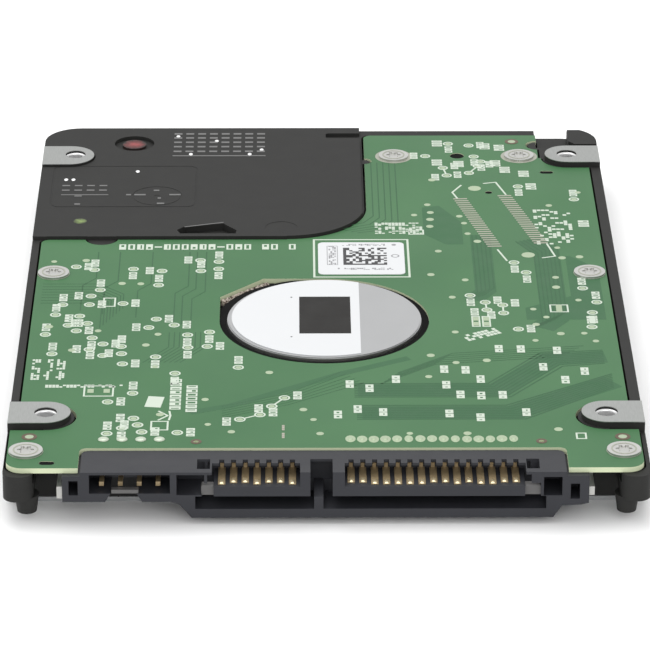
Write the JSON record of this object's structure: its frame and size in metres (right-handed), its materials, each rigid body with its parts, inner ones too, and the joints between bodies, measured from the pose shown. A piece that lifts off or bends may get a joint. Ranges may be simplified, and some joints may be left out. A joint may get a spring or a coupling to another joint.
{
  "type": "hard disk drive",
  "caption": "Flat metal data drive with a green circuit board, an edge connector, and a spinning disk and swinging head arms sealed inside its casting.",
  "frame": {"origin": "centre of the outer face of the cover, which the drive lies on, at the middle of its width and length", "axes": "+Z out of the circuit board's side, +Y from the connector end to the rear, +X to the right seen from the connector end with the board up"},
  "size_m": [0.0698, 0.1002, 0.007],
  "materials": {
    "casting_paint": "black coating on cast aluminium, fine grain",
    "cover_steel": "satin sheet",
    "gasket_rubber": "matt",
    "screw_steel": "bright zinc plate",
    "white_paper": "matt printed film",
    "bracket_metal": "satin, turned",
    "bearing_bronze": "turned",
    "magnet_metal": "nickel plate",
    "winding_copper": "enamelled wire",
    "flex_film": "polyimide film",
    "turned_steel": "turned and ground",
    "machined_aluminium": "machined",
    "disk_mirror": "polished like a mirror",
    "slider_ceramic": "lapped ceramic",
    "yoke_steel": "nickel plate",
    "chip_plastic": "moulded epoxy",
    "black_plastic": "moulded",
    "ivory_plastic": "moulded",
    "filter_cloth": "felt",
    "seal_red": "paint on a plug",
    "board_green": "solder mask on glass epoxy",
    "insulator_foam": "thin foam film",
    "ceramic_tan": "ceramic",
    "crystal_can": "drawn can",
    "housing_plastic": "glass-filled, satin",
    "contact_gold": "gold plate",
    "peg_tin": "tin plate"
  },
  "bodies": {
    "drive_body": {"base_casting": "casting_paint", "top_cover": "cover_steel", "cover_gasket": "gasket_rubber", "cover_screws": "screw_steel", "cover_label": "white_paper", "motor_bracket": "bracket_metal", "motor_label": "white_paper", "bearing_sleeve": "bearing_bronze", "stator_core": "magnet_metal", "stator_coils": "winding_copper", "motor_flex": "flex_film", "pivot_bearings": "magnet_metal", "pivot_shaft": "turned_steel", "pivot_screw": "screw_steel", "head_flex": "flex_film", "flex_bracket": "black_plastic", "head_connector": "black_plastic", "vcm_lower_yoke": "yoke_steel", "vcm_upper_yoke": "yoke_steel", "vcm_magnets": "magnet_metal", "crash_stops": "gasket_rubber", "latch_pin": "screw_steel", "ramp": "ivory_plastic", "ramp_screw": "screw_steel", "recirculation_filter": "filter_cloth", "breather_filter": "filter_cloth", "desiccant_pack": "white_paper", "seal_plug": "seal_red", "pcb": "board_green", "pcb_insulator": "insulator_foam", "pcb_screws": "screw_steel", "controller_chip": "chip_plastic", "motor_driver_chip": "chip_plastic", "memory_chip": "chip_plastic", "flash_chip": "chip_plastic", "capacitors": "ceramic_tan", "inductors": "chip_plastic", "crystal": "crystal_can", "shock_sensors": "ceramic_tan", "pcb_label": "white_paper", "connector_housing": "housing_plastic", "signal_contacts": "contact_gold", "power_contacts": "contact_gold", "jumper_pins": "contact_gold", "connector_pegs": "peg_tin"},
    "spindle": {"spindle_shaft": "turned_steel", "rotor_hub": "machined_aluminium", "rotor_magnet": "magnet_metal", "platter": "disk_mirror", "disk_clamp": "machined_aluminium", "clamp_screw": "screw_steel"},
    "actuator": {"actuator_arm": "machined_aluminium", "voice_coil": "winding_copper", "pivot_sleeve": "turned_steel", "suspensions": "turned_steel", "head_sliders": "slider_ceramic", "preamp_chip": "chip_plastic"},
    "latch": {"latch_lever": "ivory_plastic"}
  },
  "joints": [
    {"name": "spindle_spin", "type": "hinge", "parent": "drive_body", "child": "spindle", "pos_m": [0, -0.00985, 0.003], "axis": [0, 0, 1], "continuous": true},
    {"name": "actuator_swing", "type": "hinge", "parent": "drive_body", "child": "actuator", "pos_m": [-0.0203, 0.0272, 0.002], "axis": [0, 0, -1], "range_deg": [0, 35], "deforming": ["head_flex"]},
    {"name": "latch_turn", "type": "hinge", "parent": "drive_body", "child": "latch", "pos_m": [-0.0314, 0.0305, 0.003], "axis": [0, 0, 1], "range_deg": [0, 8]}
  ]
}
